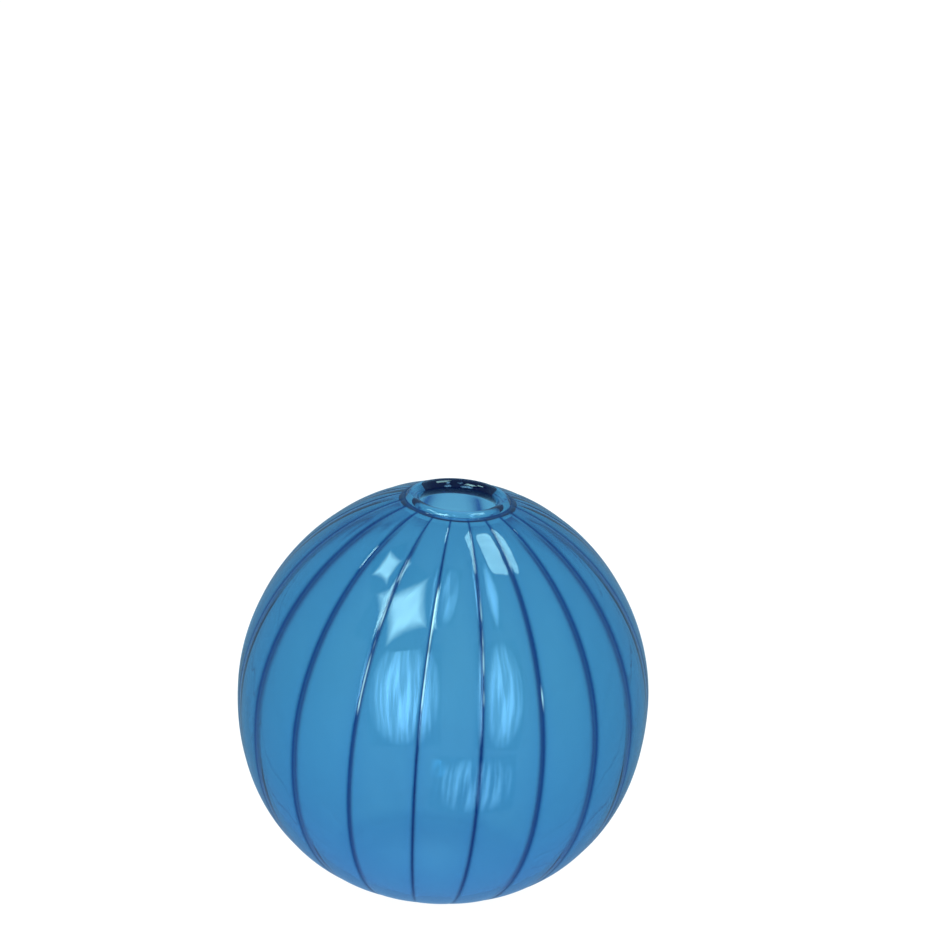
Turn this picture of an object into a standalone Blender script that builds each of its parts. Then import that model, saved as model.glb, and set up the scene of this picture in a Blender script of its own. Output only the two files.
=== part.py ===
"""A glass bud vase: a blown, ribbed ball, a rolled lip round its mouth and a thick base.

Metres, +Z up. The vase stands on z = 0 with its axis on Z, one object for each piece of glass.
"""
import math

import bmesh
import bpy

# The blown ball
BALL_RADIUS = 0.0500        # outside, at the widest ring
EQUATOR_HEIGHT = 0.04635    # from the table up to the widest ring
CROWN_RISE = 0.0522         # what the upper half would rise if it closed over the mouth
BELLY_DROP = 0.0508         # what the lower half would drop if it weren't flattened to stand
CROWN_POWER = 1.93          # 2 is a true ellipse, less is leaner
BELLY_POWER = 2.18          # more than 2 is fuller
WALL = 0.0019

# The flutes: the ball is lightly lobed, with a fine crease between neighbours
FLUTES = 20
FIRST_CREASE = math.radians(-96.5)     # turned from +X, so that the front matches the real vase
CREASE_DEPTH = 0.00050
CREASE_LOSS = 0.7           # share of that depth that is gone where the creases would meet at the top
FLUTE_SHAPE = (             # share of the way across one flute, and share of the crease's depth there
    (0.00, 1.0),
    (0.08, 0.3),
    (0.35, 0.0),
    (0.65, 0.0),
    (0.92, 0.3),
)
CROWN_FADE = math.radians(74)          # latitude over which the creases begin to shallow at the top
BASE_FADE = math.radians(-50)          # and at the bottom

# The rolled lip
LIP_RADIUS = 0.01105        # from the axis to the middle of the roll
LIP_TUBE = 0.00185          # radius of the roll itself
LIP_RISE = 0.0493           # height of the roll's middle above the widest ring
LIP_STEPS = 60
LIP_SIDES = 18

# The base
CUT_HEIGHT = 0.0026         # where the outside of the ball's wall lands on the base
FOOT_RISE = 0.0015          # how much higher the inside of the wall lands
REST_OUTER = 0.0205         # the flat ring that touches the table
REST_INNER = 0.0150
KICK_UP = 0.0008            # how far the underside is hollowed inside that ring
FLOOR_HEIGHT = 0.0028       # glass surface at the bottom of the inside
FLOOR_CURVE = 4             # more keeps the floor flat for longer before it turns up into the wall
BASE_STEPS = 80

GAP = 0.0003                # air left where two pieces are fused in the real vase

OUTER_ROWS = 24
INNER_ROWS = 12
EDGE_ROWS = 5
MERGE_DISTANCE = 1e-6

BLUE = (0.064, 0.290, 0.520, 1.0)
DEEP_BLUE = (0.040, 0.225, 0.440, 1.0)
LIP_BLUE = (0.085, 0.330, 0.560, 1.0)
BLOWN_ROUGHNESS = 0.02
WORKED_ROUGHNESS = 0.03     # where the glass has been touched by a tool
GLASS_IOR = 1.47


def clear_scene():
    for thing in list(bpy.data.objects):
        bpy.data.objects.remove(thing, do_unlink=True)


def make_glass(name, colour, roughness):
    material = bpy.data.materials.new(name)
    material.use_nodes = True
    shader = material.node_tree.nodes["Principled BSDF"]
    shader.inputs["Base Color"].default_value = colour
    shader.inputs["Roughness"].default_value = roughness
    shader.inputs["Metallic"].default_value = 0.0
    shader.inputs["IOR"].default_value = GLASS_IOR
    shader.inputs["Transmission Weight"].default_value = 1.0
    material.diffuse_color = colour
    return material


def finish_piece(name, bm, material):
    bmesh.ops.remove_doubles(bm, verts=bm.verts, dist=MERGE_DISTANCE)
    bmesh.ops.recalc_face_normals(bm, faces=bm.faces)
    mesh = bpy.data.meshes.new(name)
    bm.to_mesh(mesh)
    bm.free()
    mesh.polygons.foreach_set("use_smooth", [True] * len(mesh.polygons))
    mesh.materials.append(material)
    piece = bpy.data.objects.new(name, mesh)
    bpy.context.collection.objects.link(piece)
    return piece


def ball_profile(latitude, inset=0.0):
    """Radius and height of the ball's surface at a latitude, or of a surface a wall's depth inside it."""
    rise, power = (CROWN_RISE, CROWN_POWER) if latitude >= 0 else (BELLY_DROP, BELLY_POWER)
    across = (BALL_RADIUS - inset) * math.cos(latitude) ** (2.0 / power)
    up = (rise - inset) * abs(math.sin(latitude)) ** (2.0 / power)
    return across, EQUATOR_HEIGHT + math.copysign(up, latitude)


def latitude_at_height(height, inset=0.0):
    """Latitude at which the lower half of the ball has come down to a height."""
    drop = (EQUATOR_HEIGHT - height) / (BELLY_DROP - inset)
    return -math.asin(drop ** (BELLY_POWER / 2.0))


def latitude_at_radius(radius, inset=0.0):
    """Latitude at which the upper half of the ball has drawn in to a radius."""
    return math.acos((radius / (BALL_RADIUS - inset)) ** (CROWN_POWER / 2.0))


def between(start, end, count):
    """Evenly spaced values from start to end, both included."""
    return [start + (end - start) * i / (count - 1) for i in range(count)]


def flute_angles():
    """Angle and crease strength (1 in the crease, 0 on top of the flute) of every column of the ball."""
    step = 2.0 * math.pi / FLUTES
    columns = []
    for flute in range(FLUTES):
        for share, strength in FLUTE_SHAPE:
            columns.append((FIRST_CREASE + (flute + share) * step, strength))
    return columns


def crease_fade(latitude):
    """The creases run full depth over most of the ball and die away at the lip and at the base."""
    if latitude > CROWN_FADE:
        return max(0.0, 1.0 - CREASE_LOSS * (latitude - CROWN_FADE) / (math.pi / 2 - CROWN_FADE))
    if latitude < BASE_FADE:
        end = latitude_at_height(CUT_HEIGHT)
        return max(0.0, (latitude - end) / (BASE_FADE - end))
    return 1.0


def add_ring(bm, latitude, inset=0.0, crease=0.0):
    verts = []
    for angle, strength in flute_angles():
        radius, height = ball_profile(latitude, inset + strength * crease)
        verts.append(bm.verts.new((radius * math.cos(angle), radius * math.sin(angle), height)))
    return verts


def skin_rings(bm, rings):
    """Quads from each ring to the next, and from the last back to the first."""
    for here, there in zip(rings, rings[1:] + rings[:1]):
        for i in range(len(here)):
            j = (i + 1) % len(here)
            bm.faces.new((here[i], here[j], there[j], there[i]))


def build_ball(material):
    """The blown wall: fluted outside, smooth inside, open for the lip above and the base below."""
    mouth = LIP_RADIUS + LIP_TUBE + GAP
    bm = bmesh.new()
    rings = []
    outer_low = latitude_at_height(CUT_HEIGHT)
    outer_high = latitude_at_radius(mouth)
    for latitude in between(outer_low, outer_high, OUTER_ROWS):
        rings.append(add_ring(bm, latitude, crease=CREASE_DEPTH * crease_fade(latitude)))
    inner_high = latitude_at_radius(mouth, WALL)
    inner_low = latitude_at_height(CUT_HEIGHT + FOOT_RISE, WALL)
    for latitude in between(inner_high, inner_low, INNER_ROWS):
        rings.append(add_ring(bm, latitude, inset=WALL))
    skin_rings(bm, rings)
    return finish_piece("blown_ball", bm, material)


def build_lip(material):
    """A round roll of glass that stiffens the mouth."""
    bm = bmesh.new()
    roll = bmesh.ops.create_circle(bm, segments=LIP_SIDES, radius=LIP_TUBE)["verts"]
    for vert in roll:
        across, up, _ = vert.co
        vert.co = (LIP_RADIUS + across, 0.0, EQUATOR_HEIGHT + LIP_RISE + up)
    spin_outline(bm, list(bm.edges), LIP_STEPS)
    return finish_piece("rolled_lip", bm, material)


def spin_outline(bm, edges, steps):
    verts = list({vert for edge in edges for vert in edge.verts})
    bmesh.ops.spin(bm, geom=verts + edges, cent=(0, 0, 0), axis=(0, 0, 1),
                   angle=2.0 * math.pi, steps=steps, use_merge=True)


def base_outline():
    """Half section of the base, from the axis on the inside, round the edge, to the axis underneath."""
    inner_low = latitude_at_height(CUT_HEIGHT + FOOT_RISE - GAP, WALL)
    rim_radius, rim_height = ball_profile(inner_low, WALL)
    outline = []
    for share in between(0.0, 1.0, EDGE_ROWS + 1):
        turn_up = (rim_height - FLOOR_HEIGHT) * share ** FLOOR_CURVE
        outline.append((rim_radius * share, FLOOR_HEIGHT + turn_up))
    outer_low = latitude_at_height(CUT_HEIGHT - GAP)
    start_radius, start_height = ball_profile(outer_low)
    for turn in between(0.0, math.pi / 2, EDGE_ROWS):
        radius = REST_OUTER + (start_radius - REST_OUTER) * math.cos(turn)
        height = start_height * (1.0 - math.sin(turn))
        outline.append((radius, height))
    for share in between(1.0, 0.0, EDGE_ROWS):
        outline.append((REST_INNER * share, KICK_UP * (1.0 - share ** 2)))
    return outline


def build_base(material):
    """The thick bottom that the wall grows out of, with the flat ring the vase stands on."""
    bm = bmesh.new()
    verts = [bm.verts.new((radius, 0.0, height)) for radius, height in base_outline()]
    edges = [bm.edges.new(pair) for pair in zip(verts, verts[1:])]
    spin_outline(bm, edges, BASE_STEPS)
    return finish_piece("base_pad", bm, material)


def main():
    clear_scene()
    build_ball(make_glass("ball_glass", BLUE, BLOWN_ROUGHNESS))
    build_lip(make_glass("lip_glass", LIP_BLUE, WORKED_ROUGHNESS))
    build_base(make_glass("base_glass", DEEP_BLUE, WORKED_ROUGHNESS))


main()
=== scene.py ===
import math
import random

import bpy
from mathutils import Matrix, Vector


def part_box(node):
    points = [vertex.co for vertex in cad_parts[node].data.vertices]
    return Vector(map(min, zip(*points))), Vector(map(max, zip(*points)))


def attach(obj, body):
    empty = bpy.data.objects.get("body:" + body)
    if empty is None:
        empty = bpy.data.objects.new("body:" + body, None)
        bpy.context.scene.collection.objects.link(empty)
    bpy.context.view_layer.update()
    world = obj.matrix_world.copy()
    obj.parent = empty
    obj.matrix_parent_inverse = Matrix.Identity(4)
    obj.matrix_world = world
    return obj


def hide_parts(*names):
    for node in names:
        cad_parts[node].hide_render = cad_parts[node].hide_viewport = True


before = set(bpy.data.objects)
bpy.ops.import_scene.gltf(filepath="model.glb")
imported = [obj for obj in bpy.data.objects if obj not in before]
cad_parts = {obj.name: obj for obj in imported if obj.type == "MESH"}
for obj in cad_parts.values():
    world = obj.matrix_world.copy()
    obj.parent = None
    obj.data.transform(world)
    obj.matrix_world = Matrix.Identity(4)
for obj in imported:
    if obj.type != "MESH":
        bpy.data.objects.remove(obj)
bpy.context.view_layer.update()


class Wire:
    # one output socket, with the arithmetic that the materials use
    def __init__(self, net, socket):
        self.net = net
        self.socket = socket

    def combine(self, operation, first, second):
        return self.net.add("ShaderNodeMath", {"operation": operation}, {0: first, 1: second})

    def __add__(self, other):
        return self.combine("ADD", self, other)

    __radd__ = __add__

    def __sub__(self, other):
        return self.combine("SUBTRACT", self, other)

    def __rsub__(self, other):
        return self.combine("SUBTRACT", other, self)

    def __mul__(self, other):
        return self.combine("MULTIPLY", self, other)

    __rmul__ = __mul__

    def __pow__(self, other):
        return self.combine("POWER", self, other)

    def __abs__(self):
        return self.combine("ABSOLUTE", self, 0.0)


class Net:
    # the nodes of one material, or of the room
    def __init__(self, tree):
        self.tree = tree
        self.tree.nodes.clear()

    def add(self, kind, settings=None, sockets=None, out=0):
        node = self.tree.nodes.new(kind)
        for key, value in (settings or {}).items():
            if key == "stops":
                self.setStops(node.color_ramp, value)
            else:
                setattr(node, key, value)
        for key, value in (sockets or {}).items():
            if isinstance(value, Wire):
                self.tree.links.new(value.socket, node.inputs[key])
            else:
                node.inputs[key].default_value = value
        return Wire(self, node.outputs[out]) if node.outputs else node

    def setStops(self, ramp, stops):
        while len(ramp.elements) < len(stops):
            ramp.elements.new(1.0)
        for element, (place, shade) in zip(ramp.elements, stops):
            element.position = place
            element.color = (shade, shade, shade, 1.0)

    def ramp(self, value, *stops):
        return self.add("ShaderNodeValToRGB", {"stops": stops}, {0: value})

    def blendColours(self, share, first, second):
        return self.add("ShaderNodeMix", {"data_type": "RGBA"}, {0: share, 6: first, 7: second}, out=2)

    def stretched(self, across, along):
        # object coordinates, scaled across the vase and along its axis
        place = self.add("ShaderNodeTexCoord", out="Object")
        factors = (across, across, along)
        return self.add("ShaderNodeVectorMath", {"operation": "MULTIPLY"}, {0: place, 1: factors})

    def noise(self, place, scale, detail=2.0):
        return self.add("ShaderNodeTexNoise", None, {"Vector": place, "Scale": scale, "Detail": detail})

    def mark(self, name):
        # a value that the mesh carries at its points
        return self.add("ShaderNodeAttribute", {"attribute_name": name}, out=2)


def freshMaterial(name):
    material = bpy.data.materials.new(name)
    material.use_nodes = True
    return material, Net(material.node_tree)


def makePiece(name, verts, faces):
    mesh = bpy.data.meshes.new(name)
    mesh.from_pydata(verts, [], faces)
    mesh.validate()
    mesh.polygons.foreach_set("use_smooth", [True] * len(mesh.polygons))
    piece = bpy.data.objects.new(name, mesh)
    bpy.context.collection.objects.link(piece)
    return piece


def span(start, end, count):
    return [start + (end - start) * i / (count - 1) for i in range(count)]


def ease(value, low, high):
    # 0 below low, 1 above high, and a smooth curve between
    share = min(1.0, max(0.0, (value - low) / (high - low)))
    return share * share * (3 - 2 * share)


# the blown ball, with the base it grows out of

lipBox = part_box("rolled_lip")
lipTube = (lipBox[1].z - lipBox[0].z) / 2
lipRing = lipBox[1].x - lipTube
lipHeight = (lipBox[1].z + lipBox[0].z) / 2
lipEdge = lipRing + lipTube

ball = {
    "radius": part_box("blown_ball")[1].x,
    "equator": 0.04635,
    "crownRise": 0.0522,
    "bellyDrop": 0.0508,
    "crownPower": 1.93,  # 2 is a true ellipse and less is leaner
    "bellyPower": 2.18,  # more than 2 is fuller
    "wall": 0.0019,
    "floor": 0.0018,  # glass surface at the bottom of the inside
    "floorCurve": 9,  # more keeps the floor flat for longer before it turns up into the wall
    "footSoftness": 0.0009,  # how gently the round belly turns into the flat foot
    "underCut": 0.0012,  # how far the belly would run below the table
    "restRing": 0.84,  # where the underside touches the table, as a share of its radius
    "kickUp": 0.0004,
    "undersideCurve": 12,  # more keeps the underside flat for longer before it turns up into the belly
    "outerRows": 170,
    "innerRows": 80,
    "seatRows": 12,
    "undersideRings": span(0.97, 0.05, 24),  # shares of the underside's radius
    "floorRings": span(0.04, 0.97, 30),
    "seat": -0.00005,  # gap between the wall and the lip that is worked onto it; below 0 they overlap
    "collarDip": 0.00010,  # the shoulder sinks a little just before the lip
    "collarWidth": 0.0012,
    "rimShade": 0.7,  # how dark the painted shade in the crease round the lip is
    "rimWidth": 0.00085,
    "crownShadeFrom": (0.0725, 0.0815),  # heights where the painted shade inside the crown begins
    "crownShadeTo": (0.088, 0.094),  # and ends
    "patchTo": (0.086, 0.090),  # where the painted shade of the creases inside the crown ends
}

flute = {
    "count": 20,
    "first": math.radians(-96.5),
    # degrees that a crease stands from its even place, counted round from the one in the middle of the front
    "nudges": {
        17: -0.9, 18: -0.5, 19: 0.5, 0: 0.9, 1: 0.1, 2: -0.1, 3: 0.1, 4: -0.3,
        10: -3.0, 11: 3.2,
    },
    # how broad the painted shade of a crease is, beside the others
    "breadths": {16: 2.0, 17: 2.2, 18: 1.35, 19: 0.9, 0: 0.85, 1: 1.0, 2: 1.2, 3: 1.6, 4: 2.2, 5: 2.0},
    # heights between which a crease carries a painted glint, a thread of light
    "threads": {
        19: (0.058, 0.088),
        0: (0.061, 0.087),
        1: (0.063, 0.086),
        2: (0.061, 0.068),
        10: (0.05, 0.07),
    },
    "threadWidth": 0.00017,
    "threadFade": 0.003,
    "depth": 0.00002,
    "width": 0.00050,
    "fullDepth": 0.006,  # how far from the lip the creases reach their depth
    "footFade": 0.25,  # how much of the latitude above the foot they take to die away
    "shadeStart": 0.001,  # their painted shade begins this close to the lip's edge
    "shadeFade": 0.30,
    "shadeWidth": 0.00056,
    "narrowest": 0.4,  # the painted shade narrows to this share where the creases would meet
    "fullBreadth": 0.040,
    "haloWidth": 0.00190,
    "haloFade": (0.014, 0.034),
    "rib": 0.00010,  # the glass is thicker inside each crease
    "ribWidth": 0.0022,
    "ribFade": 0.024,
    "ribFoot": 0.35,
    "mouthCrease": 0.0017,  # half the breadth of the painted shade of a crease inside the crown
    "swell": 0.00009,  # how far each flute bulges between its creases
    "drift": 0.4,  # how far a crease wanders to either side, in degrees
    "waves": 60,  # radians of that wander for each metre of height
    "seed": 7,
}

# how far across a flute the points of its first half lie, close together at the crease
stations = [0.0, 0.006, 0.013, 0.021, 0.030, 0.041, 0.055, 0.073, 0.097, 0.13, 0.18, 0.25, 0.33, 0.41]


def bell(distance, width):
    return math.exp(-((distance / width) ** 2))


def ballPoint(latitude, inset=0.0):
    rise, power = ball["crownRise"], ball["crownPower"]
    if latitude < 0:
        rise, power = ball["bellyDrop"], ball["bellyPower"]
    across = (ball["radius"] - inset) * max(math.cos(latitude), 0.0) ** (2 / power)
    up = (rise - inset) * abs(math.sin(latitude)) ** (2 / power)
    up = math.copysign(up, latitude)
    if latitude > 0 and inset == 0:
        up -= ball["collarDip"] * math.exp(-max(across - lipEdge, 0.0) / ball["collarWidth"])
    return across, ball["equator"] + up


def latitudeWhere(test, low, high):
    # the latitude at which test turns true, by halving
    for _ in range(50):
        middle = (low + high) / 2
        if test(middle):
            high = middle
        else:
            low = middle
    return (low + high) / 2


def seatLatitude(inset):
    # where a surface of the wall meets the lip
    reach = lipTube + ball["seat"]

    def meetsLip(latitude):
        across, up = ballPoint(latitude, inset)
        return math.hypot(across - lipRing, up - lipHeight) < reach

    overLip = latitudeWhere(lambda t: ballPoint(t, inset)[0] < lipRing, 0.5, 1.5)
    return latitudeWhere(meetsLip, 0.5, overLip)


def floorLatitude():
    # where the curve of the floor runs smoothly into the wall
    def floorIsFlatter(t):
        across, up = ballPoint(-t, ball["wall"])
        lowerAcross, lowerUp = ballPoint(-t - 0.001, ball["wall"])
        wallSlope = (up - lowerUp) / (across - lowerAcross)
        return ball["floorCurve"] * (up - ball["floor"]) / across < wallSlope

    return -latitudeWhere(floorIsFlatter, 0.9, 1.4)


def outsideOfBall():
    # from the lip down to the middle of the underside: radius, height, how deep the creases are, how dark
    # their painted shade is
    top = seatLatitude(0.0)
    bottom = -latitudeWhere(lambda t: ballPoint(-t)[1] < -ball["underCut"], 0.5, 1.5)
    rows = []
    for t in span(top, bottom, ball["outerRows"]):
        across, up = ballPoint(t)
        depth = ease(across, lipEdge, lipEdge + flute["fullDepth"])
        depth *= ease(t, bottom, bottom + flute["footFade"])
        shade = ease(across, lipEdge - flute["shadeStart"], lipEdge + flute["shadeStart"])
        shade *= ease(t, bottom, bottom + flute["shadeFade"])
        flattened = (up + math.hypot(up, ball["footSoftness"])) / 2
        rows.append((across, flattened, depth, shade))
    edgeRadius, edgeHeight = rows[-1][:2]
    for share in ball["undersideRings"]:
        hollow = ball["kickUp"] * max(0.0, 1 - (share / ball["restRing"]) ** 2) ** 2
        turnUp = edgeHeight * share ** ball["undersideCurve"]
        rows.append((edgeRadius * share, turnUp + hollow, 0.0, 0.0))
    return rows


def insideOfBall(seatEdge):
    # from the middle of the floor up to the lip's seat, and round against the lip to the outside's first row
    wall = ball["wall"]
    top = seatLatitude(wall)
    bottom = floorLatitude()
    edgeRadius, edgeHeight = ballPoint(bottom, wall)
    rows = []
    for share in ball["floorRings"]:
        turnUp = (edgeHeight - ball["floor"]) * share ** ball["floorCurve"]
        rows.append((edgeRadius * share, ball["floor"] + turnUp, 0.0, 0.0))
    for t in span(bottom, top, ball["innerRows"]):
        across, up = ballPoint(t, wall)
        depth = ease(t, bottom, bottom + flute["ribFoot"]) * ease(across, lipEdge, flute["ribFade"])
        rows.append((across, up, depth, 0.0))
    reach = lipTube + ball["seat"]
    under = math.atan2(rows[-1][1] - lipHeight, rows[-1][0] - lipRing)
    over = math.atan2(seatEdge[1] - lipHeight, seatEdge[0] - lipRing)
    for turn in span(under, over, ball["seatRows"])[1:-1]:
        rows.append((lipRing + reach * math.cos(turn), lipHeight + reach * math.sin(turn), 0.0, 0.0))
    return rows


def creaseWander():
    # for each crease: how far it leans, how widely it wanders and where that wander starts
    dice = random.Random(flute["seed"])
    wander = []
    for k in range(flute["count"]):
        lean, wave, phase = dice.uniform(-1, 1), dice.uniform(-1, 1), dice.uniform(0, 6)
        wander.append((flute["nudges"].get(k, lean), wave * flute["drift"], phase))
    return wander + wander[:1]


def outsideMarks(radius, height, shade, rimmed):
    # how strongly the painted shade of creases, halos and rim, and the painted glints, show at a spot of the
    # outside
    rim = ball["rimShade"] * bell(radius - lipEdge, ball["rimWidth"]) if rimmed else 0.0
    haloShade = shade * ease(radius, *flute["haloFade"])

    def spot(whose, share, apart, breadth):
        # a painted glint beside some creases
        thread = 0.0
        if whose in flute["threads"] and share < 0.5:
            low, high = flute["threads"][whose]
            fade = flute["threadFade"]
            thread = ease(height, low, low + fade) * (1 - ease(height, high - fade, high))
            thread *= bell(apart - flute["threadWidth"], flute["threadWidth"])
        return {
            "creaseCore": shade * bell(apart, breadth),
            "creaseHalo": haloShade * math.exp(-apart / flute["haloWidth"]),
            "innerCore": 0.0,
            "rimShade": rim,
            "crownTone": 0.0,
            "thread": thread,
        }

    return spot


def insideMarks(height, depth):
    # the same on the inside, where the creases and the crown carry painted shade
    begun = ease(height, *ball["crownShadeFrom"])
    crownShading = begun * (1 - ease(height, *ball["crownShadeTo"]))
    patch = begun * (1 - ease(height, *ball["patchTo"]))

    def spot(whose, share, apart, breadth):
        return {
            "creaseCore": patch * bell(apart, flute["mouthCrease"]),
            "creaseHalo": 0.0,
            "innerCore": depth * bell(apart, breadth),
            "rimShade": 0.0,
            "crownTone": crownShading,
            "thread": 0.0,
        }

    return spot


def skinBall(rows, outerCount, count):
    # quads from each row to the next, and fans over the middle of the underside and of the floor
    faces = []
    for i in range(len(rows)):
        if i == outerCount - 1:
            continue  # the glass between the underside and the floor
        j = (i + 1) % len(rows)
        for k in range(count):
            m = (k + 1) % count
            faces.append((i * count + k, j * count + k, j * count + m, i * count + m))
    under, floor = len(rows) * count, len(rows) * count + 1
    last = (outerCount - 1) * count
    for k in range(count):
        m = (k + 1) % count
        faces.append((last + k, under, last + m))
        faces.append((floor, last + count + k, last + count + m))
    return faces


def buildBall():
    wander = creaseWander()
    step = 2 * math.pi / flute["count"]
    shares = stations + [0.5] + [1 - s for s in reversed(stations[1:])]
    outside = outsideOfBall()
    rows = outside + insideOfBall(outside[0])
    verts = []
    marks = {}
    for i, (radius, height, depth, shade) in enumerate(rows):
        before, after = rows[max(i - 1, 0)], rows[min(i + 1, len(rows) - 1)]
        slope = Vector((after[0] - before[0], after[1] - before[1])).normalized()
        outward = Vector((-slope.y, slope.x))  # rows run down the outside, so this points out of the glass
        outer = i < len(outside)
        if outer:
            spot = outsideMarks(radius, height, shade, i < ball["outerRows"] and height > ball["equator"])
        else:
            spot = insideMarks(height, depth)
        taper = flute["narrowest"] + (1 - flute["narrowest"]) * min(1.0, radius / flute["fullBreadth"])
        along = height * flute["waves"]
        bends = [math.radians(lean + wave * math.sin(phase + along)) for lean, wave, phase in wander]
        for k in range(flute["count"]):
            for share in shares:
                bend = bends[k] * (1 - share) + bends[k + 1] * share
                angle = flute["first"] + (k + share) * step + bend
                apart = min(share, 1 - share) * step * radius
                if outer:
                    bulge = flute["swell"] * (4 * share * (1 - share) - 1)
                    push = depth * (bulge - flute["depth"] * bell(apart, flute["width"]))
                else:
                    push = depth * flute["rib"] * bell(apart, flute["ribWidth"])
                across = radius + outward.x * push
                verts.append((across * math.cos(angle), across * math.sin(angle), height + outward.y * push))
                whose = (k if share < 0.5 else k + 1) % flute["count"]
                breadth = flute["shadeWidth"] * flute["breadths"].get(whose, 1.0) * taper
                for name, value in spot(whose, share, apart, breadth).items():
                    marks.setdefault(name, []).append(value)
    faces = skinBall(rows, len(outside), flute["count"] * len(shares))
    verts += [(0, 0, ball["kickUp"]), (0, 0, ball["floor"])]
    piece = makePiece("flutedBall", verts, faces)
    for name, values in marks.items():
        piece.data.attributes.new(name, "FLOAT", "POINT").data.foreach_set("value", values + [0.0, 0.0])
    return piece


# the rolled lip

lip = {
    "steps": 180,
    "sides": 48,
    "deepFrom": 0.05,  # the side of the roll that faces the mouth carries painted shade
    "deepTo": 0.30,
    "leastDeep": 0.15,  # and only this much of it at the front and sides
    "deepBehind": (0.1, 0.75),
}


def buildLip():
    verts, faces, lipShade = [], [], []
    for i in range(lip["steps"]):
        angle = 2 * math.pi * i / lip["steps"]
        # painted shade round the roll, strongest behind
        share = lip["leastDeep"] + (1 - lip["leastDeep"]) * ease(math.sin(angle), *lip["deepBehind"])
        for k in range(lip["sides"]):
            turn = 2 * math.pi * k / lip["sides"]
            across = lipRing + lipTube * math.cos(turn)
            height = lipHeight + lipTube * math.sin(turn)
            verts.append((across * math.cos(angle), across * math.sin(angle), height))
            lipShade.append(share * ease(-math.cos(turn), lip["deepFrom"], lip["deepTo"]))
    for i in range(lip["steps"]):
        j = (i + 1) % lip["steps"]
        for k in range(lip["sides"]):
            m = (k + 1) % lip["sides"]
            here, there = i * lip["sides"], j * lip["sides"]
            faces.append((here + k, there + k, there + m, here + m))
    piece = makePiece("lipRoll", verts, faces)
    piece.data.attributes.new("deepSide", "FLOAT", "POINT").data.foreach_set("value", lipShade)
    return piece


# glass

glass = {
    "absorbDensity": 1000.0,
    "absorbColour": (0.210, 0.658, 0.794, 1.0),
    "lipDensity": 450.0,
    "clearTint": (0.97, 0.99, 1.0, 1.0),
    "streakTint": (0.90, 0.965, 0.985, 1.0),
    # painted shade in a soft band beside each crease
    "haloShadeTint": (0.30, 0.60, 0.84, 1.0),
    "haloShare": 0.62,
    # painted shade in the creases, as a dark tint and, below, a navy glow
    "creaseShadeTint": (0.001, 0.010, 0.085, 1.0),
    # painted shade in the creases seen from inside the glass
    "innerShadeTint": (0.01, 0.04, 0.18, 1.0),
    "creaseShadeGlow": (0.0, 0.012, 0.075, 1.0),
    # painted shade in the crease round the lip, as a tint and a navy glow
    "rimShadeTint": (0.02, 0.10, 0.30, 1.0),
    "rimShadeGlow": (0.003, 0.045, 0.150, 1.0),
    # painted glints on some creases
    "paintedGlintGlow": (0.45, 0.85, 0.90, 1.0),
    # painted shade on the side of the roll that faces the mouth, as a tint and a navy glow
    "lipShadeTint": (0.0004, 0.0004, 0.012, 1.0),
    "lipShadeGlow": (0.001, 0.003, 0.028, 1.0),
    # painted shade inside the crown, seen through the mouth
    "crownShadeTint": (0.24, 0.50, 0.68, 1.0),
    "paintedGlassGlow": (0.011, 0.014, 0.028, 1.0),  # painted glow, for light the glass would gather from all round
    "paintedFootGlow": (0.022, 0.036, 0.115, 1.0),  # more painted glow low down
    "paintedInnerGlow": (0.0, 0.004, 0.013, 1.0),  # and a little painted glow on every turn inside the glass
    "lowHeights": 20,  # a height times this goes into the fade of the foot's painted glow
    "footFade": ((0.16, 1.0), (0.70, 0.0)),
    "refraction": 1.47,
    "ripple": 0.00005,
    "groove": 0.00004,
    "streakScale": 160.0,
    "streakStretch": 0.12,
    "streakFade": ((0.35, 0.0), (0.75, 1.0)),
    "streakRelief": 0.35,
    "waveScale": 45.0,
    "waveStretch": 0.5,
    "smudgeScale": 70.0,
    "smudgeFade": ((0.5, 0.0), (0.8, 0.03)),  # from polished glass to the roughness of a smudge
    "threadScale": 110.0,
    "threadBreaks": ((0.38, 0.05), (0.60, 1.0)),
}


def plainGlass(net):
    # which side is near, the streaks in the glass, and the tint and painted glow that ball and lip share
    near = 1 - net.add("ShaderNodeNewGeometry", out="Backfacing")
    streaks = net.noise(net.stretched(1.0, glass["streakStretch"]), glass["streakScale"], 3.0)
    streaked = net.ramp(streaks, *glass["streakFade"])
    tint = net.blendColours(streaked, glass["clearTint"], glass["streakTint"])
    # painted glow in the glass, more of it low down near the foot
    glow = net.blendColours(near, glass["paintedInnerGlow"], glass["paintedGlassGlow"])
    height = net.add("ShaderNodeSeparateXYZ", None, {0: net.add("ShaderNodeTexCoord", out="Object")}, out="Z")
    low = net.ramp(height * glass["lowHeights"], *glass["footFade"])
    glow = net.blendColours(low * near, glow, glass["paintedFootGlow"])
    return near, streaks, tint, glow


def finishGlass(net, streaks, tint, glow, density, normal):
    waves = net.noise(net.stretched(1.0, glass["waveStretch"]), glass["waveScale"], 1.0)
    smudge = net.noise(net.stretched(1.0, 1.0), glass["smudgeScale"], 3.0)
    relief = {"Distance": glass["ripple"], "Height": streaks * glass["streakRelief"] + waves}
    surface = net.add(
        "ShaderNodeBsdfPrincipled",
        None,
        {
            "Base Color": tint,
            "Roughness": net.ramp(smudge, *glass["smudgeFade"]),
            "IOR": glass["refraction"],
            "Transmission Weight": 1.0,
            "Emission Color": glow,
            "Emission Strength": 1.0,
            "Normal": net.add("ShaderNodeBump", None, relief | normal),
        },
    )
    depth = {"Color": glass["absorbColour"], "Density": density}
    inside = net.add("ShaderNodeVolumeAbsorption", None, depth)
    net.add("ShaderNodeOutputMaterial", None, {"Surface": surface, "Volume": inside})


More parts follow.
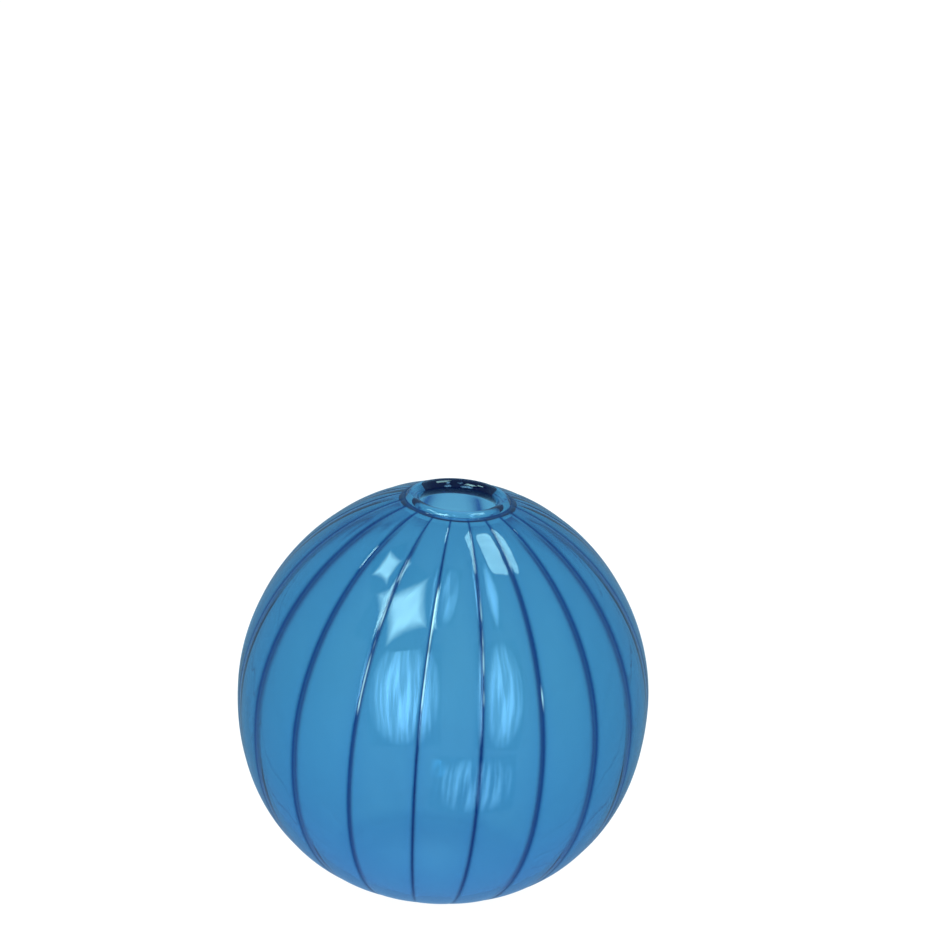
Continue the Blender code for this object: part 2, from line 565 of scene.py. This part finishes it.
def makeBallGlass():
    material, net = freshMaterial("flutedGlass")
    near, streaks, tint, glow = plainGlass(net)
    # painted shade in the creases, on the near side only; the same mask also sinks the groove's bump
    crease = net.mark("creaseCore") * near
    # painted shade in the crease round the lip
    rim = net.mark("rimShade") * near
    # painted shade inside the crown
    tint = net.blendColours(net.mark("crownTone") * near, tint, glass["crownShadeTint"])
    # painted shade in a soft band beside each crease
    tint = net.blendColours(net.mark("creaseHalo") * near * glass["haloShare"], tint, glass["haloShadeTint"])
    tint = net.blendColours(crease, tint, glass["creaseShadeTint"])
    # painted shade in the creases seen from inside the glass
    tint = net.blendColours(net.mark("innerCore") * (1 - near), tint, glass["innerShadeTint"])
    tint = net.blendColours(rim, tint, glass["rimShadeTint"])
    glow = net.blendColours(crease, glow, glass["creaseShadeGlow"])
    glow = net.blendColours(rim, glow, glass["rimShadeGlow"])
    # painted glints, broken into pieces, on some creases
    broken = net.ramp(net.noise(net.stretched(1.0, 1.0), glass["threadScale"]), *glass["threadBreaks"])
    glow = net.blendColours(net.mark("thread") * near * broken, glow, glass["paintedGlintGlow"])
    groove = net.add("ShaderNodeBump", {"invert": True}, {"Distance": glass["groove"], "Height": crease})
    finishGlass(net, streaks, tint, glow, glass["absorbDensity"], {"Normal": groove})
    return material


def makeLipGlass():
    material, net = freshMaterial("lipGlass")
    near, streaks, tint, glow = plainGlass(net)
    # painted shade on the side of the roll that faces the mouth
    lipShade = net.mark("deepSide") * near
    tint = net.blendColours(lipShade, tint, glass["lipShadeTint"])
    glow = net.blendColours(lipShade, glow, glass["lipShadeGlow"])
    finishGlass(net, streaks, tint, glow, glass["lipDensity"], {})
    return material


# light, floor and camera

studio = {
    "roomLight": 1.05,
    "mirroredLight": (0.17, 0.33, 0.46, 1.0),  # the room in reflections on the glass
    "floorSize": 3.0,
    "floorGap": 0.0002,  # keeps the floor clear of the foot
    "floorShade": 0.08,
    "floorGlow": 0.98,
    "cardDistance": 0.6,
    "bandScale": 30.0,  # the streaks of light and dark along a card
    "bandStretch": 0.12,
    "bandFade": ((0.42, 0.0), (0.62, 1.0)),
}

# each card of light: degrees round from the front and up, lean, width and height, brightness, whether its
# light is a star (a low bulge) or a rectangle (a high one), how soft and how streaked it is, and its colour
paleBlue = (0.50, 0.95, 1.00, 1.0)
deepBlue = (0.25, 0.65, 1.00, 1.0)
cards = {
    "tallLeft": {
        "turn": -23, "rise": 18, "lean": 12, "size": (0.44, 0.58), "glow": 17.0, "bulge": 2.0,
        "soft": 0.9, "streaks": 0.7, "shade": deepBlue,
    },
    "tallRight": {
        "turn": 34, "rise": 19, "lean": -8, "size": (0.27, 0.58), "glow": 14.0, "bulge": 2.0,
        "soft": 0.9, "streaks": 0.7, "shade": deepBlue,
    },
    "star": {
        "turn": -43, "rise": 56, "lean": 0, "size": (0.42, 0.46), "glow": 15.0, "bulge": 0.8,
        "soft": 0.4, "streaks": 0.2, "shade": paleBlue,
    },
    "starUp": {
        "turn": -95, "rise": 60, "lean": 0, "size": (0.26, 0.20), "glow": 13.0, "bulge": 0.8,
        "soft": 0.4, "streaks": 0.2, "shade": paleBlue,
    },
    "backRight": {
        "turn": 122, "rise": 69, "lean": 0, "size": (0.27, 0.16), "glow": 9.5, "bulge": 6.0,
        "soft": 0.4, "streaks": 0.2, "shade": paleBlue,
    },
    "tail": {
        "turn": 54, "rise": 66, "lean": -30, "size": (0.09, 0.40), "glow": 12.0, "bulge": 1.5,
        "soft": 0.8, "streaks": 0.2, "shade": deepBlue,
    },
    "fineStreaks": {
        "turn": -6, "rise": 70, "lean": 0, "size": (0.13, 0.34), "glow": 8.0, "bulge": 2.0,
        "soft": 0.8, "streaks": 0.8, "shade": deepBlue,
    },
    "tableGlints": {
        "turn": 20, "rise": -24, "lean": 0, "size": (0.46, 0.30), "glow": 7.0, "bulge": 2.0,
        "soft": 0.8, "streaks": 1.0, "shade": deepBlue,
    },
}

view = {
    "distance": 0.85,
    "elevation": math.radians(24.0),
    "roll": math.radians(4.4),
    "aimRight": 0.0065,
    "aimUp": 0.05389,
    "lens": 133.3,
    "filmWidth": 36.0,
}


def buildRoom():
    world = bpy.data.worlds.new("softRoom")
    bpy.context.scene.world = world
    world.use_nodes = True
    net = Net(world.node_tree)
    through = net.add("ShaderNodeLightPath", out="Is Transmission Ray")
    mirrored = net.add("ShaderNodeLightPath", out="Is Glossy Ray") * (1 - through)
    light = net.blendColours(mirrored, (studio["roomLight"],) * 3 + (1.0,), studio["mirroredLight"])
    sky = net.add("ShaderNodeBackground", None, {"Color": light, "Strength": 1.0})
    net.add("ShaderNodeOutputWorld", None, {"Surface": sky})


def layFloor():
    half = studio["floorSize"] / 2
    corners = [(-half, -half, 0), (half, -half, 0), (half, half, 0), (-half, half, 0)]
    floor = makePiece("paleFloor", corners, [(0, 1, 2, 3)])
    material, net = freshMaterial("palePaper")
    paper = net.add(
        "ShaderNodeBsdfPrincipled",
        None,
        {
            "Base Color": (studio["floorShade"],) * 3 + (1.0,),
            "Roughness": 1.0,
            "Specular IOR Level": 0.0,
            "Emission Color": (1.0, 1.0, 1.0, 1.0),
            "Emission Strength": studio["floorGlow"],
        },
    )
    net.add("ShaderNodeOutputMaterial", None, {"Surface": paper})
    floor.data.materials.append(material)
    floor.location.z = -studio["floorGap"]
    floor.visible_glossy = False


def hangCard(name, card):
    turn, rise = math.radians(card["turn"]), math.radians(card["rise"])
    away = Vector((math.sin(turn) * math.cos(rise), -math.cos(turn) * math.cos(rise), math.sin(rise)))
    wide, tall = card["size"][0] / 2, card["size"][1] / 2
    corners = [(-wide, -tall, 0), (wide, -tall, 0), (wide, tall, 0), (-wide, tall, 0)]
    piece = makePiece(name, corners, [(0, 1, 2, 3)])
    piece.location = Vector((0, 0, ball["equator"])) + away * studio["cardDistance"]
    piece.rotation_mode = "QUATERNION"
    lean = Matrix.Rotation(math.radians(card["lean"]), 3, "Z").to_quaternion()
    piece.rotation_quaternion = away.to_track_quat("Z", "Y") @ lean
    material, net = freshMaterial(name)
    place = net.add("ShaderNodeTexCoord", out="Generated")
    across = net.add("ShaderNodeSeparateXYZ", None, {0: place}, out="X") * 2 - 1
    along = net.add("ShaderNodeSeparateXYZ", None, {0: place}, out="Y") * 2 - 1
    inside = 1 - abs(across) ** card["bulge"] - abs(along) ** card["bulge"]
    own = net.add("ShaderNodeTexCoord", out="Object")
    factors = (1.0, studio["bandStretch"], 1.0)
    lines = net.add("ShaderNodeVectorMath", {"operation": "MULTIPLY"}, {0: own, 1: factors})
    bands = net.ramp(net.noise(lines, studio["bandScale"]), *studio["bandFade"])
    bands = 1 - card["streaks"] * (1 - bands)
    shape = net.ramp(inside, (0.0, 0.0), (card["soft"], 1.0)) * bands
    shade = net.blendColours(shape, (0.0, 0.0, 0.0, 1.0), card["shade"])
    light = net.add("ShaderNodeEmission", None, {"Color": shade, "Strength": card["glow"]})
    net.add("ShaderNodeOutputMaterial", None, {"Surface": light})
    piece.data.materials.append(material)
    piece.visible_camera = False
    piece.visible_transmission = False


def addCamera():
    centre = Vector((0, 0, ball["equator"]))
    pitch = view["elevation"]
    away = Vector((0, -math.cos(pitch), math.sin(pitch)))
    right = Vector((1, 0, 0))
    up = away.cross(right)
    leanUp = up * math.cos(view["roll"]) - right * math.sin(view["roll"])
    leanRight = right * math.cos(view["roll"]) + up * math.sin(view["roll"])
    place = centre + away * view["distance"]
    aim = centre + leanRight * view["aimRight"] + leanUp * view["aimUp"]
    back = (place - aim).normalized()
    side = leanUp.cross(back).normalized()
    top = back.cross(side)
    data = bpy.data.cameras.new("camera")
    data.lens = view["lens"]
    data.sensor_width = view["filmWidth"]
    camera = bpy.data.objects.new("camera", data)
    bpy.context.collection.objects.link(camera)
    turn = Matrix((side, top, back)).transposed().to_4x4()
    camera.matrix_world = Matrix.Translation(place) @ turn
    bpy.context.scene.camera = camera


print("blowing the ball")
ballPiece = buildBall()
ballPiece.data.materials.append(makeBallGlass())
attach(ballPiece, "root")
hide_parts("blown_ball", "base_pad")

print("rolling the lip")
lipPiece = buildLip()
lipPiece.data.materials.append(makeLipGlass())
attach(lipPiece, "root")
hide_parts("rolled_lip")

print("lighting the studio")
buildRoom()
layFloor()
for name, card in cards.items():
    hangCard(name, card)
addCamera()
bpy.context.scene.view_settings.view_transform = "Standard"
